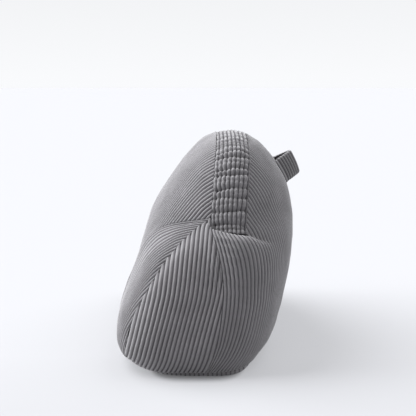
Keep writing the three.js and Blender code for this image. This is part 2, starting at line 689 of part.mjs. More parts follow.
// Carry loop: a strap whose two feet lie on the back panel and whose middle arches out
const footNormal = normalAt([0, sectionAt(LOOP_HEIGHT).back, LOOP_HEIGHT]);
const strapLine = (share) => {
  const reach = LOOP_SPAN / 2;
  const side = Math.sign(share - 0.5) || 1;
  const off = Math.abs(2 * share - 1);
  if (off > LOOP_ARCH_SHARE) {
    const out = (off - LOOP_ARCH_SHARE) / (1 - LOOP_ARCH_SHARE);
    return [side * (reach + LOOP_FOOT * out), 0];
  }
  const turn = (off / LOOP_ARCH_SHARE) * (Math.PI / 2);
  return [side * reach * Math.sin(turn), LOOP_RISE * Math.cos(turn) ** 0.8];
};
function strapPoint(share, across, offset) {
  const step = 0.002;
  const [x, h] = strapLine(share);
  const [x0, h0] = strapLine(Math.max(share - step, 0));
  const [x1, h1] = strapLine(Math.min(share + step, 1));
  const length = Math.hypot(x1 - x0, h1 - h0);
  const sx = x - ((h1 - h0) / length) * offset;
  const out = h + ((x1 - x0) / length) * offset;
  const z = LOOP_HEIGHT - across * footNormal.y;
  const section = sectionAt(z);
  const angle = solve((a) => rim(section, a)[0] - Math.abs(sx), Math.PI / 2, 0.02);
  const y = rim(section, angle)[1];
  const d = WALE_HEIGHT + 2 * GAP + LOOP_THICKNESS / 2 + out;
  return [sx, y + footNormal.y * d, z + footNormal.z * d];
}
function carryLoop() {
  const half = LOOP_THICKNESS / 2;
  const wide = [-LOOP_WIDTH / 2, LOOP_WIDTH / 2];
  const shares = steps(2 * LOOP_WALES);
  const ribAt = (share) => (Math.round(share * 2 * LOOP_WALES) % 2 ? 0.5 : -0.5) * WALE_HEIGHT;
  const outer = grid(wide, shares, (across, share) =>
    strapPoint(share, across, half + ribAt(share)));
  const inner = grid(wide, steps(LOOP_INNER_ROWS), (across, share) =>
    strapPoint(share, across, -half));
  return solid(shell(outer, inner));
}

const corduroy = new THREE.MeshStandardMaterial({ color: 0x7b797c, roughness: 0.95, metalness: 0 });

// The body ends a little above the base panel
const baseRecess = wasm.Manifold.cube([600, 400, 2 * (BASE_THICKNESS + BASE_GAP)], true);
let body = filledCore().add(front).add(back).subtract(baseRecess);
for (const { cutter } of sewn) body = body.subtract(cutter);
body = body.subtract(stripCutter);

// The filling has no hollows: only the body's outer skin is kept
body = body.decompose().reduce((a, b) => (a.volume() > b.volume() ? a : b));

const group = new THREE.Group();
group.add(meshOf(body, 'pillow_body', corduroy));
for (const { name, sheet } of sewn) group.add(meshOf(sheet, name, corduroy));
group.add(meshOf(strip, 'gathered_strip', corduroy));
group.add(meshOf(basePanel(), 'base_panel', corduroy));
group.add(meshOf(carryLoop(), 'carry_loop', corduroy));

export default group;
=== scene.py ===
"""Lumbar pillow in wide-wale corduroy: its looks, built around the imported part."""

import math

import bmesh
import bpy
import numpy as np
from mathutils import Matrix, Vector


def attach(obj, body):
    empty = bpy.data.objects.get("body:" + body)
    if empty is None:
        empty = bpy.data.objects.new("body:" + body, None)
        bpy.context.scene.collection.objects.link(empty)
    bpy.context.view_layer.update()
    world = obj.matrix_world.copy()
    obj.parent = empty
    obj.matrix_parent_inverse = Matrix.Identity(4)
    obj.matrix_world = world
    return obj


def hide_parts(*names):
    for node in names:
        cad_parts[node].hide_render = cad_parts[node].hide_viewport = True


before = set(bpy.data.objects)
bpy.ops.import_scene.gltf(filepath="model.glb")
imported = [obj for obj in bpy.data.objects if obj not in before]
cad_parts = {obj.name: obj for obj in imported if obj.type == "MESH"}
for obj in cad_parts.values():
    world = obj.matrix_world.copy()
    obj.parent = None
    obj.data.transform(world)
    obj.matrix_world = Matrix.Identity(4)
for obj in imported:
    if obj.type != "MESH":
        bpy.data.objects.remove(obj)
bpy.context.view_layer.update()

bl_info = {
    "name": "Corduroy lumbar pillow",
    "version": (1, 0, 0),
    "blender": (4, 5, 0),
    "location": "View3D > Sidebar > Pillow",
    "description": "Sews the panels of a corduroy lumbar pillow and sets its stage",
    "category": "Object",
}

MM = 0.001

# The stuffed form, in millimetres: level sections from the base up. Each row is the height,
# half the length, the front and back at mid length, y of the end's tip, and how square the
# front and back corners are. The rows up to 55 mm were fitted by a search to the photo's
# outline near the floor.
SECTIONS = np.array([
    (0, 237, -91, 61, -3, 4.0, 3.8),
    (8, 240, -110, 74, -8, 4.5, 2.95),
    (28, 244.5, -120.5, 91, -8, 5.0, 2.75),
    (55, 245, -119, 100.5, -2, 4.8, 2.7),
    (85, 241, -110, 107, 4, 4.4, 2.8),
    (115, 233, -99, 114, 12, 4.0, 2.7),
    (143, 221, -91, 118, 23, 3.2, 2.5),
    (168, 206, -84, 119, 29, 2.4, 2.3),
    (192, 192, -74, 117, 29.5, 2.1, 2.1),
    (222, 178, -55, 110, 32, 2.0, 2.0),
    (250, 160, -34, 93, 34, 2.0, 2.0),
    (273, 134, -12, 71.5, 36, 2.0, 2.0),
    (283.2, 95, 4.5, 57, 36.5, 2.0, 2.0),
    (286.9, 66, 14, 49, 37, 2.0, 2.0),
    (288.5, 37, 25, 43, 37, 2.0, 2.0),
    (288.9, 0, 37, 37, 37, 2.0, 2.0),
])
TOP = len(SECTIONS) - 1

# Seams of an end panel by height: y of its front seam, y of its back seam, and how far its
# wales have leaned towards the front. A program worked out the front seam's values from points
# read off the photo.
END_SEAMS = np.array([
    (0, -95, -6, -43), (12, -100.5, 0, -36.5), (25, -103, 5.5, -31.5), (42, -100.5, 10.5, -27),
    (60, -96, 13.5, -22.5), (80, -87.7, 16.2, -17.5), (100, -77, 18, -12.5),
    (120, -64.8, 17.6, -9), (140, -50, 14.7, -6.3), (160, -32, 9.8, -3.8),
    (177, -13.5, 5, -1.5), (191, 1.5, 4, 0),
])
APEX = 191
BACK_SEAM_TOP = 177
BACK_SEAM_GIRTH = 299

# The valley round each end under the gathered strip: y, height, how far the cloth below it
# swells out, and over what height it gets there
VALLEY = np.array([
    (-120, 150, 0, 30), (-63, 169, 1.2, 34), (-28, 180, 2.2, 28), (-5, 187, 3.6, 20), (8, 178, 7, 12),
    (30, 173, 8.5, 11), (49, 170, 8, 11), (64, 164, 4, 16), (85, 156, 0.6, 22), (120, 145, 0, 25),
])
VALLEY_DEPTH = 2.5
VALLEY_WIDTH = 12
SWELL_FADE = 62
SWELL_FROM = 120
SWELL_FULL = 180

# The gathered strip, and its lower end, which drops towards the back
STRIP_HALF_WIDTH = 22
STRIP_SHIFT = -3
STRIP_END_HEIGHT = 174
STRIP_END_SLOPE = -0.14
STRIP_END_POWER = 15

# The base seam, and its rise at the two front corners
BASE_SEAM = 6
CORNER_LIFT = 10
CORNER_AT = 205
CORNER_WIDTH = 30
CORNER_FROM = 60
CORNER_FULL = 100

# The side-front panels: their inner seam, then how their wales crowd, leave it and bend. Most of
# the wale values were fitted by a minimiser to the photo's wales.
SIDE_INNER = 100
SIDE_CURVE = 3.9
SIDE_DIP = 0.24
SIDE_WALES = 22
SIDE_LOW_START = 30
SIDE_LOW_END = 16
SIDE_CROWD = 0.41
SIDE_CROWD_CURVE = 3.7
SIDE_EASE = 1.8
SIDE_BLEND = 0.3
SIDE_LEAVE = 0.585
SIDE_LEAVE_LOW = 0.96
SIDE_BEND = 2.5
SIDE_BEND_LOW = 0.85
SIDE_FOOT = 1.4

# The back panel's wales bend with its seam, and draw outwards at the foot
BACK_WALES = 96
BACK_BEND = 4
BACK_FOOT = 30
BACK_FOOT_FROM = 110

# The end panels' wales, and how far in from the panel's two widest points they start and stop
END_WALES = 20
END_FRONT_KEEP = 0.4
END_BACK_KEEP = 0.1
END_BACK_BELOW = 70
RIDGE_POWER = 4

# How the front and back wales lean outwards beside the strip
FRONT_LEAN = 0.42
FRONT_LEAN_FROM = 160
BACK_LEAN = 0.22
LEAN_EASE = 20
LEAN_LIMIT = 1.2

# The carry loop. Its feet are given from their tips inwards: how far past the reach, and how
# high in seam heights
LOOP_WIDTH = 36
LOOP_REACH = 21
LOOP_RISE = 24
LOOP_HEIGHT = 233
LOOP_FOOT_PAST = np.array([9, 7.5, 4.5, 1.5])
LOOP_FOOT_HIGH = np.array([0, 0.8, 1.2, 0.9])
LOOP_BULGE = 0.3
LOOP_SEAM = 2.4
LOOP_PITCH = 5.0
LOOP_RIBS = 0.95
LOOP_RIBS_FROM = 7
LOOP_RIBS_FULL = 10
LOOP_PUFF = 0.6
LOOP_FOLD = 0.05
LOOP_TIP = 0.12
LOOP_CLEAR = 1.4
LOOP_THICKNESS = 2.2

# The filling keeps inside the cloth, more so under the strip, whose creases dip
FILLING_INSET = 3.6
FILLING_UNDER_STRIP = 4.4
FILLING_FLOOR = 4
FILLING_DISC = 0.1

# The base panel: the share of it that lies flat, then how its rim turns up past the seam and
# keeps inside the cloth above it
BASE_FLAT_SHARE = 0.93
BASE_TUCK = 1.2
BASE_TURN = 1.4
BASE_INSET = 0.5
BASE_CLEAR = 0.4
BASE_RIBS = 0.7

# The rectangles that panels are cut from, with lengths set by hand, and the share of a finished
# mesh's area that is declared as its flat area. That share was set by hand too, not measured.
FRONT_FLAT_LENGTH = 340
BACK_FLAT_LENGTH = 330
END_FLAT = (112, 200)
SIDE_FLAT = (220, 240)
BASE_FLAT = (484, 196)


# The form

def curve(rows, place, before=None, after=None):
    """A smooth curve through a table's rows, at places counted in rows."""
    before = rows[0] if before is None else before
    after = rows[-1] if after is None else after
    table = np.vstack([before, rows, after])
    place = np.asarray(place, float)
    i = np.clip(np.floor(place).astype(int), 0, len(rows) - 2)
    f = (place - i)[..., None]
    p0, p1, p2, p3 = (table[i + k] for k in range(4))
    m1, m2, rise = (p2 - p0) / 2, (p3 - p1) / 2, p2 - p1
    return p1 + f * (m1 + f * (3 * rise - 2 * m1 - m2 + f * (m1 + m2 - 2 * rise)))


def look_up(rows, value):
    """A table's row at values of its first column."""
    return curve(rows, np.interp(value, rows[:, 0], np.arange(len(rows))))


NEAR_TOP = SECTIONS[-2]
AFTER_TOP = np.array([NEAR_TOP[0], -NEAR_TOP[1], NEAR_TOP[3], NEAR_TOP[2], *NEAR_TOP[4:]])
LEVELS = np.linspace(0, TOP, 561)
BELOW_BASE = 2 * SECTIONS[0] - SECTIONS[1]
BY_LEVEL = curve(SECTIONS, LEVELS, BELOW_BASE, AFTER_TOP)
ANGLES = np.linspace(-math.pi / 2, math.pi / 2, 321)
SHARES = np.linspace(0, 1, 641)


def level_of(z):
    """Where a height lies among the sections, counted in rows."""
    return np.interp(z, BY_LEVEL[:, 0], LEVELS)


def section(z):
    """Half length, front, back, tip, front and back squareness at a height."""
    place = level_of(z)
    return [np.interp(place, LEVELS, BY_LEVEL[:, k]) for k in range(1, 7)]


def polar(half, front, back, tip, front_square, back_square, angle):
    """x and y of a section's rim in a direction from its tip's line, from front to back."""
    to_back = angle > 0
    square = np.where(to_back, back_square, front_square)
    depth = np.maximum(np.where(to_back, back - tip, tip - front), 1e-6)
    c, s = np.cos(angle), np.abs(np.sin(angle))
    r = ((c / np.maximum(half, 1e-6)) ** square + (s / depth) ** square) ** (-1 / square)
    return r * c, tip + np.sign(angle) * r * s


RIM = polar(*(BY_LEVEL[:, k, None] for k in range(1, 7)), ANGLES[None])
GIRTH = np.concatenate([
    np.zeros((len(LEVELS), 1)),
    np.cumsum(np.hypot(np.diff(RIM[0], axis=1), np.diff(RIM[1], axis=1)), axis=1),
], axis=1)
TOTAL = GIRTH[:, -1]
ANGLE_AT = np.array([np.interp(SHARES, row / row[-1], ANGLES) for row in GIRTH[:-1]])
ANGLE_AT = np.vstack([ANGLE_AT, ANGLE_AT[-1]])


def between(table, row, column):
    """A table read between its rows and columns."""
    row = np.clip(row, 0, table.shape[0] - 1.001)
    column = np.clip(column, 0, table.shape[1] - 1.001)
    i, k = row.astype(int), column.astype(int)
    f, g = row - i, column - k
    return ((table[i, k] * (1 - g) + table[i, k + 1] * g) * (1 - f)
            + (table[i + 1, k] * (1 - g) + table[i + 1, k + 1] * g) * f)


def on_section(z, distance, back=False):
    """The point at a cloth distance from mid length, round the front or the back."""
    z, distance = np.broadcast_arrays(np.asarray(z, float), np.asarray(distance, float))
    row = level_of(z) / TOP * (len(LEVELS) - 1)
    total = np.interp(row, np.arange(len(LEVELS)), TOTAL)
    share = np.abs(distance) / np.maximum(total, 1e-6)
    share = 1 - share if back else share
    angle = between(ANGLE_AT, row, np.clip(share, 0, 1) * (len(SHARES) - 1))
    x, y = polar(*section(z), angle)
    return np.stack([np.where(distance < 0, -x, x), y, z], -1)


def tip_x(y, z):
    """x of the end at y and z."""
    half, front, back, tip, front_square, back_square = section(z)
    to_back = y > tip
    square = np.where(to_back, back_square, front_square)
    depth = np.where(to_back, back - tip, tip - front)
    return half * np.clip(1 - (np.abs(y - tip) / depth) ** square, 0, 1) ** (1 / square)


def girth_to(y, z, back=False):
    """Cloth distance from mid length to the point at y on an end."""
    tip = section(z)[3]
    angle = np.arctan2(y - tip, tip_x(y, z))
    row = level_of(z) / TOP * (len(LEVELS) - 1)
    along = between(GIRTH, row, (angle / math.pi + 0.5) * (len(ANGLES) - 1))
    return np.interp(row, np.arange(len(LEVELS)), TOTAL) - along if back else along


def level(x, y, z):
    """Below zero inside the form, above it outside."""
    half, front, back, tip, front_square, back_square = section(z)
    to_back = y > tip
    square = np.where(to_back, back_square, front_square)
    depth = np.maximum(np.where(to_back, back - tip, tip - front), 1e-3)
    r = (np.abs(x) / np.maximum(half, 1e-3)) ** square + (np.abs(y - tip) / depth) ** square
    return np.where(z > SECTIONS[-1, 0], 1.0, r ** (1 / square) - 1)


def normal(p):
    """The form's outward direction at points on it."""
    step = 0.8
    x, y = p[..., 0], p[..., 1]
    z = np.clip(p[..., 2], step, SECTIONS[-1, 0] - 2 * step)
    n = np.stack([
        level(x + step, y, z) - level(x - step, y, z),
        level(x, y + step, z) - level(x, y - step, z),
        level(x, y, z + step) - level(x, y, z - step),
    ], -1)
    return n / np.linalg.norm(n, axis=-1, keepdims=True)


def smooth(lo, hi, v):
    """Eases from 0 at lo to 1 at hi."""
    t = np.clip((v - lo) / (hi - lo), 0, 1)
    return t * t * (3 - 2 * t)


def swell(p, hold=False):
    """How far the stuffed cloth stands proud of the sections."""
    ends = smooth(SWELL_FROM, SWELL_FULL, np.abs(p[..., 0]))
    _, height, proud, lip = np.moveaxis(look_up(VALLEY, p[..., 1]), -1, 0)
    below = height - p[..., 2]
    if hold:
        below = np.minimum(below, 0)
    depth = np.minimum(VALLEY_DEPTH, np.maximum(proud, 0))
    above = -depth * np.exp(-(below / VALLEY_WIDTH) ** 2)
    rise = np.sqrt(1 - (1 - np.clip(below / lip, 0, 1)) ** 2)
    under = (-depth + (proud + depth) * rise) * (1 - smooth(lip, SWELL_FADE, below))
    return ends * np.where(below < 0, above, under)


WAVES = np.random.default_rng(5)
WAVE_TURN = 2.6
WAVE_TABLE = [(WAVES.normal(size=3), WAVES.uniform(0, 2 * math.pi)) for _ in range(24)]


def waves(p, length, start=0, count=8):
    """Soft unevenness, about -1 to 1, with features about a length in size."""
    total = 0
    for direction, phase in WAVE_TABLE[start:start + count]:
        total = total + np.sin((p @ direction) * (WAVE_TURN / length) + phase)
    return total / math.sqrt(count)


def lift(p, offset, hold=False):
    """Points moved out from the form by its swell and an offset."""
    return p + normal(p) * (swell(p, hold) + offset)[..., None]


RIB_ROUNDNESS = 0.75


def rib(phase):
    """A wale's rounded section: 0 in its groove, 1 on its crest."""
    return np.abs(np.sin(math.pi * phase)) ** RIB_ROUNDNESS


def rim_share(turn):
    """How far round from the front to the back a direction points, from 0 to 1."""
    return np.abs((turn + math.pi / 2 + math.pi) % (2 * math.pi) - math.pi) / math.pi


def solve(f, lo, hi, turns=34):
    """Where f, which rises from lo to hi, is zero."""
    lo, hi = np.asarray(lo, float).copy(), np.asarray(hi, float).copy()
    for _ in range(turns):
        mid = (lo + hi) / 2
        above = f(mid) > 0
        hi = np.where(above, mid, hi)
        lo = np.where(above, lo, mid)
    return (lo + hi) / 2


def strip_middle(z):
    """y of the strip's middle line at a height."""
    return section(z)[3] + STRIP_SHIFT


STRIP_END_MIDDLE = float(strip_middle(STRIP_END_HEIGHT))


def strip_end(y):
    """Height of the strip's lower end at y."""
    return STRIP_END_HEIGHT + STRIP_END_SLOPE * (y - STRIP_END_MIDDLE)


def base_seam(x, y):
    """Height of the base seam."""
    corner = np.exp(-((np.abs(x) - CORNER_AT) / CORNER_WIDTH) ** 2)
    return BASE_SEAM + CORNER_LIFT * corner * smooth(CORNER_FROM, CORNER_FULL, -y)


# Panels: each gives points on the form for places across its wales and down them

NEARLY_TOP = SECTIONS[-1, 0] - 0.4
APEX_GIRTH = float(girth_to(np.array(END_SEAMS[-1, 1]), np.array(float(APEX))))
LOW_CORNER_Y = look_up(END_SEAMS, np.array([float(SIDE_LOW_END)]))[0, 1]
LOW_CORNER_GIRTH = float(girth_to(LOW_CORNER_Y, np.array(float(SIDE_LOW_END))))


def leaned(girth, z, lean, start, back):
    """Cloth distance of a wale that leans outwards above a height, most beside the strip."""
    edge = girth_to(strip_middle(z) + (STRIP_HALF_WIDTH if back else -STRIP_HALF_WIDTH), z, back)
    above = np.maximum(z - start, 0)
    reach = lean * above * above / (above + LEAN_EASE)
    beside = np.clip(np.abs(girth) / np.maximum(edge, 1), 0, LEAN_LIMIT) ** 3
    return girth + np.sign(girth) * reach * beside


def side_seam_girth(z):
    """Cloth distance of the seam between the front panel and a side-front panel."""
    fallen = SIDE_DIP * SHARES + (1 - SIDE_DIP) * SHARES ** SIDE_CURVE
    share = np.interp((APEX - z) / (APEX - BASE_SEAM), fallen, SHARES)
    return SIDE_INNER + (APEX_GIRTH - SIDE_INNER) * (1 - share) ** 2


def front_place(girth, z):
    """Cloth distance of a front wale at a height."""
    return leaned(girth, z, FRONT_LEAN, FRONT_LEAN_FROM, False)


def front_panel():
    """The front panel's point function and half its width in cloth."""
    apex = np.full(1, float(APEX))
    widest = np.full(1, 300.0)
    half = float(solve(lambda girth: front_place(girth, apex) - APEX_GIRTH, np.zeros(1), widest)[0])
    wales = np.linspace(0, half, 401)
    top = solve(lambda z: on_section(z, front_place(wales, z))[..., 1] - strip_middle(z) + STRIP_HALF_WIDTH,
                np.full_like(wales, 150), np.full_like(wales, NEARLY_TOP))
    foot = solve(lambda z: side_seam_girth(z) - front_place(wales, z),
                 np.full_like(wales, BASE_SEAM), np.full_like(wales, APEX))
    foot = np.where(wales <= SIDE_INNER, BASE_SEAM, foot)
    top = np.maximum(top, foot)

    def point(girth, down):
        far = np.abs(girth)
        upper = np.interp(far, wales, top)
        z = upper + (np.interp(far, wales, foot) - upper) * down
        return on_section(z, front_place(girth, z))

    return point, half


def back_place(girth, z):
    """Cloth distance of a back wale at a height."""
    seam_height = np.minimum(z, BACK_SEAM_TOP)
    seam = girth_to(look_up(END_SEAMS, seam_height)[..., 2], seam_height, back=True)
    share = np.abs(girth) / BACK_SEAM_GIRTH
    bent = girth + np.sign(girth) * (seam - BACK_SEAM_GIRTH) * share ** BACK_BEND
    low = np.clip(1 - z / BACK_FOOT_FROM, 0, 1)
    bent = bent + np.sign(girth) * BACK_FOOT * low * low * share ** 3 * (1 - share ** 6)
    return leaned(bent, z, BACK_LEAN, BACK_SEAM_TOP, True)


def back_panel():
    """The back panel's point function."""
    wales = np.linspace(0, BACK_SEAM_GIRTH, 401)

    def y_at(z):
        return on_section(z, back_place(wales, z), back=True)[..., 1]

    start = np.full_like(wales, STRIP_END_HEIGHT)
    beside = y_at(start) - strip_middle(start) - STRIP_HALF_WIDTH > 0
    by_side = solve(lambda z: strip_middle(z) + STRIP_HALF_WIDTH - y_at(z), start,
                    np.full_like(wales, NEARLY_TOP))
    by_end = solve(lambda z: z - strip_end(y_at(z)), np.full_like(wales, 150), np.full_like(wales, 195))
    top = np.where(beside, by_side, by_end)

    def point(girth, down):
        upper = np.interp(np.abs(girth), wales, top)
        z = upper + (BASE_SEAM - upper) * down
        return on_section(z, back_place(girth, z), back=True)

    return point


END_HEIGHTS = np.linspace(0, APEX, 383)
END_ROWS = look_up(END_SEAMS, END_HEIGHTS)
FRONT_LINE = END_ROWS[:, 1] - END_ROWS[:, 3]
BACK_LINE = END_ROWS[:, 2] - END_ROWS[:, 3]
END_FROM = float(FRONT_LINE.min()) + END_FRONT_KEEP
END_TO = float(BACK_LINE[END_HEIGHTS < END_BACK_BELOW].max()) - END_BACK_KEEP


def end_panel_point(line, down, side):
    """Points of an end panel, whose wales lean together."""
    low = int(np.argmin(FRONT_LINE))
    high = int(np.argmax(BACK_LINE))
    below_top = END_HEIGHTS <= BACK_SEAM_TOP
    front_top = np.interp(line, FRONT_LINE[low:], END_HEIGHTS[low:])
    back_rows = slice(high, int(below_top.sum()))
    back_top = np.interp(line, BACK_LINE[back_rows][::-1], END_HEIGHTS[back_rows][::-1])
    apex_line, back_line = FRONT_LINE[-1], BACK_LINE[int(below_top.sum()) - 1]
    along_ridge = np.clip((line - apex_line) / (back_line - apex_line), 0, 1)
    ridge = APEX + (BACK_SEAM_TOP - APEX) * along_ridge ** RIDGE_POWER
    top = np.where(line < apex_line, front_top, np.where(line > back_line, back_top, ridge))
    foot = base_seam(CORNER_AT, line + END_SEAMS[1, 3])
    front_foot = np.interp(-line, -FRONT_LINE[:low + 1], END_HEIGHTS[:low + 1])
    foot = np.maximum(foot, np.where(line < FRONT_LINE[0], front_foot, 0))
    z = top + (foot - top) * down
    y = line + look_up(END_SEAMS, z)[..., 3]
    return np.stack([side * tip_x(y, z), y, z], -1)


def end_seam_girth(z):
    """Cloth distance of the seam between a side-front panel and an end panel."""
    return girth_to(look_up(END_SEAMS, z)[..., 1], z)


def side_panel_point(share, down, side):
    """Points of a side-front panel, whose wales leave the end panel's seam one below the other."""
    crowd = SIDE_CROWD * share + (1 - SIDE_CROWD) * share ** SIDE_CROWD_CURVE
    start = APEX + (SIDE_LOW_START - APEX) * crowd
    foot = BASE_SEAM + CORNER_LIFT * smooth(0.5, 1, share)
    down = down ** SIDE_EASE
    z = start + (foot - start) * down
    first_z = APEX + (BASE_SEAM - APEX) * down
    first_foot = end_seam_girth(np.full_like(down, BASE_SEAM))
    first = (end_seam_girth(first_z) - side_seam_girth(first_z)) / (first_foot - SIDE_INNER)
    leave = SIDE_LEAVE + (SIDE_LEAVE_LOW - SIDE_LEAVE) * share
    own = 1 - (1 - down ** leave) ** (SIDE_BEND + (SIDE_BEND_LOW - SIDE_BEND) * share)
    blend = smooth(0, SIDE_BLEND, share)
    foot_girth = SIDE_INNER + (LOW_CORNER_GIRTH - SIDE_INNER) * share ** SIDE_FOOT
    apart = end_seam_girth(foot) - foot_girth
    girth = end_seam_girth(z) - apart * (first * (1 - blend) + own * blend)
    return on_section(z, side * girth)


CREST_LOW = float(level_of(STRIP_END_HEIGHT))
CREST_SHARE = np.linspace(0, 2, 601)
CREST_RISE = np.where(CREST_SHARE > 1, 2 - CREST_SHARE, CREST_SHARE)
CREST_ROWS = curve(SECTIONS, CREST_LOW + (TOP - CREST_LOW) * CREST_RISE, BELOW_BASE, AFTER_TOP)
CREST_X = CREST_ROWS[:, 1] * np.where(CREST_SHARE > 1, -1, 1)
CREST_Z = CREST_ROWS[:, 0]
CREST_ALONG = np.concatenate([[0], np.cumsum(np.hypot(np.diff(CREST_X), np.diff(CREST_Z)))])
CREST_LENGTH = float(CREST_ALONG[-1])


def strip_point(across, along):
    """Points of the strip, from its end at +X over the crown to the other."""
    edge = strip_end(STRIP_END_MIDDLE + across) - STRIP_END_HEIGHT
    place = along * CREST_LENGTH - (2 * along - 1) ** STRIP_END_POWER * edge
    x = np.interp(place, CREST_ALONG, CREST_X)
    z = np.interp(place, CREST_ALONG, CREST_Z)
    y = np.interp(place, CREST_ALONG, CREST_ROWS[:, 4]) + STRIP_SHIFT + across
    slope = np.unwrap(np.arctan2(np.gradient(CREST_Z), np.gradient(CREST_X)))
    slope = np.interp(place, CREST_ALONG, slope)
    nx, nz = np.sin(slope), -np.cos(slope)
    inside, outside = np.full_like(x, -4), np.full_like(x, 40)
    d = solve(lambda t: -level(x - nx * t, y, z - nz * t), inside, outside)
    return np.stack([x - nx * d, y, z - nz * d], -1)


# Meshes

def grid_mesh(name, columns, rows):
    """A flat grid, with the column and the row of each vertex."""
    bm = bmesh.new()
    bmesh.ops.create_grid(bm, x_segments=columns, y_segments=rows, size=0.5)
    mesh = bpy.data.meshes.new(name)
    bm.to_mesh(mesh)
    bm.free()
    flat = np.zeros(len(mesh.vertices) * 3)
    mesh.vertices.foreach_get("co", flat)
    flat = flat.reshape(-1, 3) + 0.5
    return mesh, np.rint(flat[:, 0] * columns).astype(int), np.rint(flat[:, 1] * rows).astype(int)


def cloth_piece(mesh, points, wale_uv, thickness, outward=None):
    """Moves a grid's vertices into place, in millimetres, and gives it its cloth."""
    mesh.vertices.foreach_set("co", (points * MM).ravel())
    vertex = np.zeros(len(mesh.loops), np.int32)
    mesh.loops.foreach_get("vertex_index", vertex)
    mesh.uv_layers.new(name="wales").data.foreach_set("uv", (wale_uv[vertex] * MM).ravel())
    mesh.update()
    faced = np.zeros(len(mesh.polygons) * 3)
    centre = np.zeros(len(mesh.polygons) * 3)
    mesh.polygons.foreach_get("normal", faced)
    mesh.polygons.foreach_get("center", centre)
    away = normal(centre.reshape(-1, 3) / MM) if outward is None else outward
    if (faced.reshape(-1, 3) * away).sum() < 0:
        mesh.flip_normals()
    mesh.polygons.foreach_set("use_smooth", np.ones(len(mesh.polygons), bool))
    mesh.update()
    piece = bpy.data.objects.new(mesh.name, mesh)
    bpy.context.scene.collection.objects.link(piece)
    if thickness:
        wall = piece.modifiers.new("Cloth thickness", "SOLIDIFY")
        wall.thickness = thickness * MM
        wall.offset = -1
    mesh.materials.append(corduroy())
    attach(piece, "root")
    return piece


# Places of the rows nearest a seam, and the wale length below which they lie closer still
NEAR_SEAM = np.array([0, 0.7, 1.6, 3.2])
SHORT_WALE = 20

# How a panel's edge rolls into its seam, and how far from its seams it is fully uneven
ROLL_WIDTH = 1.7
ROLL_POWER = 1.6
CALM_WIDTH = 22
WALE_WANDER = 0.55
BROAD_DENT = 1.1
SMALL_DENT = 0.3
PILE_SINK = 0.5

# Where a seam's stitching draws the cloth beside it into small crosswise ripples
DRAWN_PITCH = 13
DRAWN_AT = 14
DRAWN_WIDTH = 16
DRAWN_SWAY = 0.06


def spaced(length, count):
    """Places of a wale's rows, close together by the seams at its two ends."""
    near = NEAR_SEAM * min(1, length / SHORT_WALE)
    middle = np.linspace(near[-1], length - near[-1], count - 5)
    return np.concatenate([near[:-1], middle, length - near[-2::-1]])


def along_wales(point, places, rows):
    """Shares down each wale for its rows, with their distances along it and its length."""
    fine = np.linspace(0, 1, 49)
    paths = point(np.repeat(places, len(fine)), np.tile(fine, len(places))).reshape(len(places), -1, 3)
    steps = np.linalg.norm(np.diff(paths, axis=1), axis=2)
    run = np.concatenate([np.zeros((len(places), 1)), np.cumsum(steps, axis=1)], axis=1)
    lengths = run[:, -1]
    distance = np.array([spaced(length, rows) for length in lengths])
    down = np.array([np.interp(d, r, fine) for d, r in zip(distance, run)])
    return down, distance, lengths


def rolled(distance, depth):
    """Cloth rolling down into a seam."""
    return -depth * (1 - np.clip(distance / ROLL_WIDTH, 0, 1)) ** ROLL_POWER


def cloth_panel(name, point, across, wales, rows, seams, seed=0, wobble=1.0, fold=None, hold=False,
                fine=8, first=0.0, drawn=(0, 0)):
    """A ribbed panel whose wales run down its columns. seams are the depths of its left, right,
    upper and lower seams, and drawn is how deep its left and right ones draw it into ripples."""
    sizes = bpy.context.scene.pillow_sizes
    pitch = sizes.wale_pitch / MM
    columns = wales * fine
    mesh, column, row = grid_mesh(name, columns, rows)
    places = np.linspace(across[0], across[1], columns + 1)
    down, distance, lengths = along_wales(point, places, rows)
    down, along, length = down[column, row], distance[column, row], lengths[column]
    place = places[column]
    p = point(place, down)
    width = column / fine * pitch
    reaches = (width, wales * pitch - width, along, length - along)
    nearest = np.minimum.reduce(reaches)
    clear = smooth(0, CALM_WIDTH, nearest)
    phase = first + column / fine + WALE_WANDER * waves(p, 70, seed, 6) / pitch * clear
    ripples = np.zeros_like(along)
    for reach, depth in zip(reaches[:2], drawn):
        beat = np.sin(along * 2 * math.pi / DRAWN_PITCH + 1.6 * waves(p, 60, 4, 6))
        near = np.exp(-((reach - DRAWN_AT) / DRAWN_WIDTH) ** 2) * smooth(-0.5, 0.9, waves(p, 70, 12, 8))
        ripples = ripples + depth * beat * near
    phase = phase + DRAWN_SWAY * ripples
    ribs = sizes.wale_height / MM * rib(phase)
    dents = wobble * clear * (BROAD_DENT * waves(p, 95, seed, 8) + SMALL_DENT * waves(p, 28, 10, 8))
    seam = sum(rolled(reach, depth) for reach, depth in zip(reaches, seams))
    offset = ribs - PILE_SINK + dents + seam + ripples
    if fold is not None:
        offset = offset + fold(place, down)
    return cloth_piece(mesh, lift(p, offset, hold), np.stack([phase * pitch, along], -1),
                       sizes.cloth_thickness / MM)


def stretched(piece, width, length):
    """Reads the areas of a panel's faces and does nothing more with them. width and length, the rectangle it
    is cut from, are not used. Its flat area is taken as a share of its mesh's, which counts the sides of its
    wales too."""
    mesh = piece.data
    area = np.zeros(len(mesh.polygons))
    mesh.polygons.foreach_get("area", area)


# Materials

def linear(value):
    """An sRGB hex colour as linear values."""
    parts = [int(value[i:i + 2], 16) / 255 for i in (1, 3, 5)]
    return [c / 12.92 if c <= 0.04045 else ((c + 0.055) / 1.055) ** 2.4 for c in parts] + [1.0]


def add_node(tree, kind, inputs=None, **settings):
    """Adds a node with its settings, and sets or links its inputs."""
    node = tree.nodes.new(kind)
    for key, value in settings.items():
        setattr(node, key, value)
    for key, value in (inputs or {}).items():
        if isinstance(value, bpy.types.NodeSocket):
            tree.links.new(value, node.inputs[key])
        else:
            node.inputs[key].default_value = value
    return node


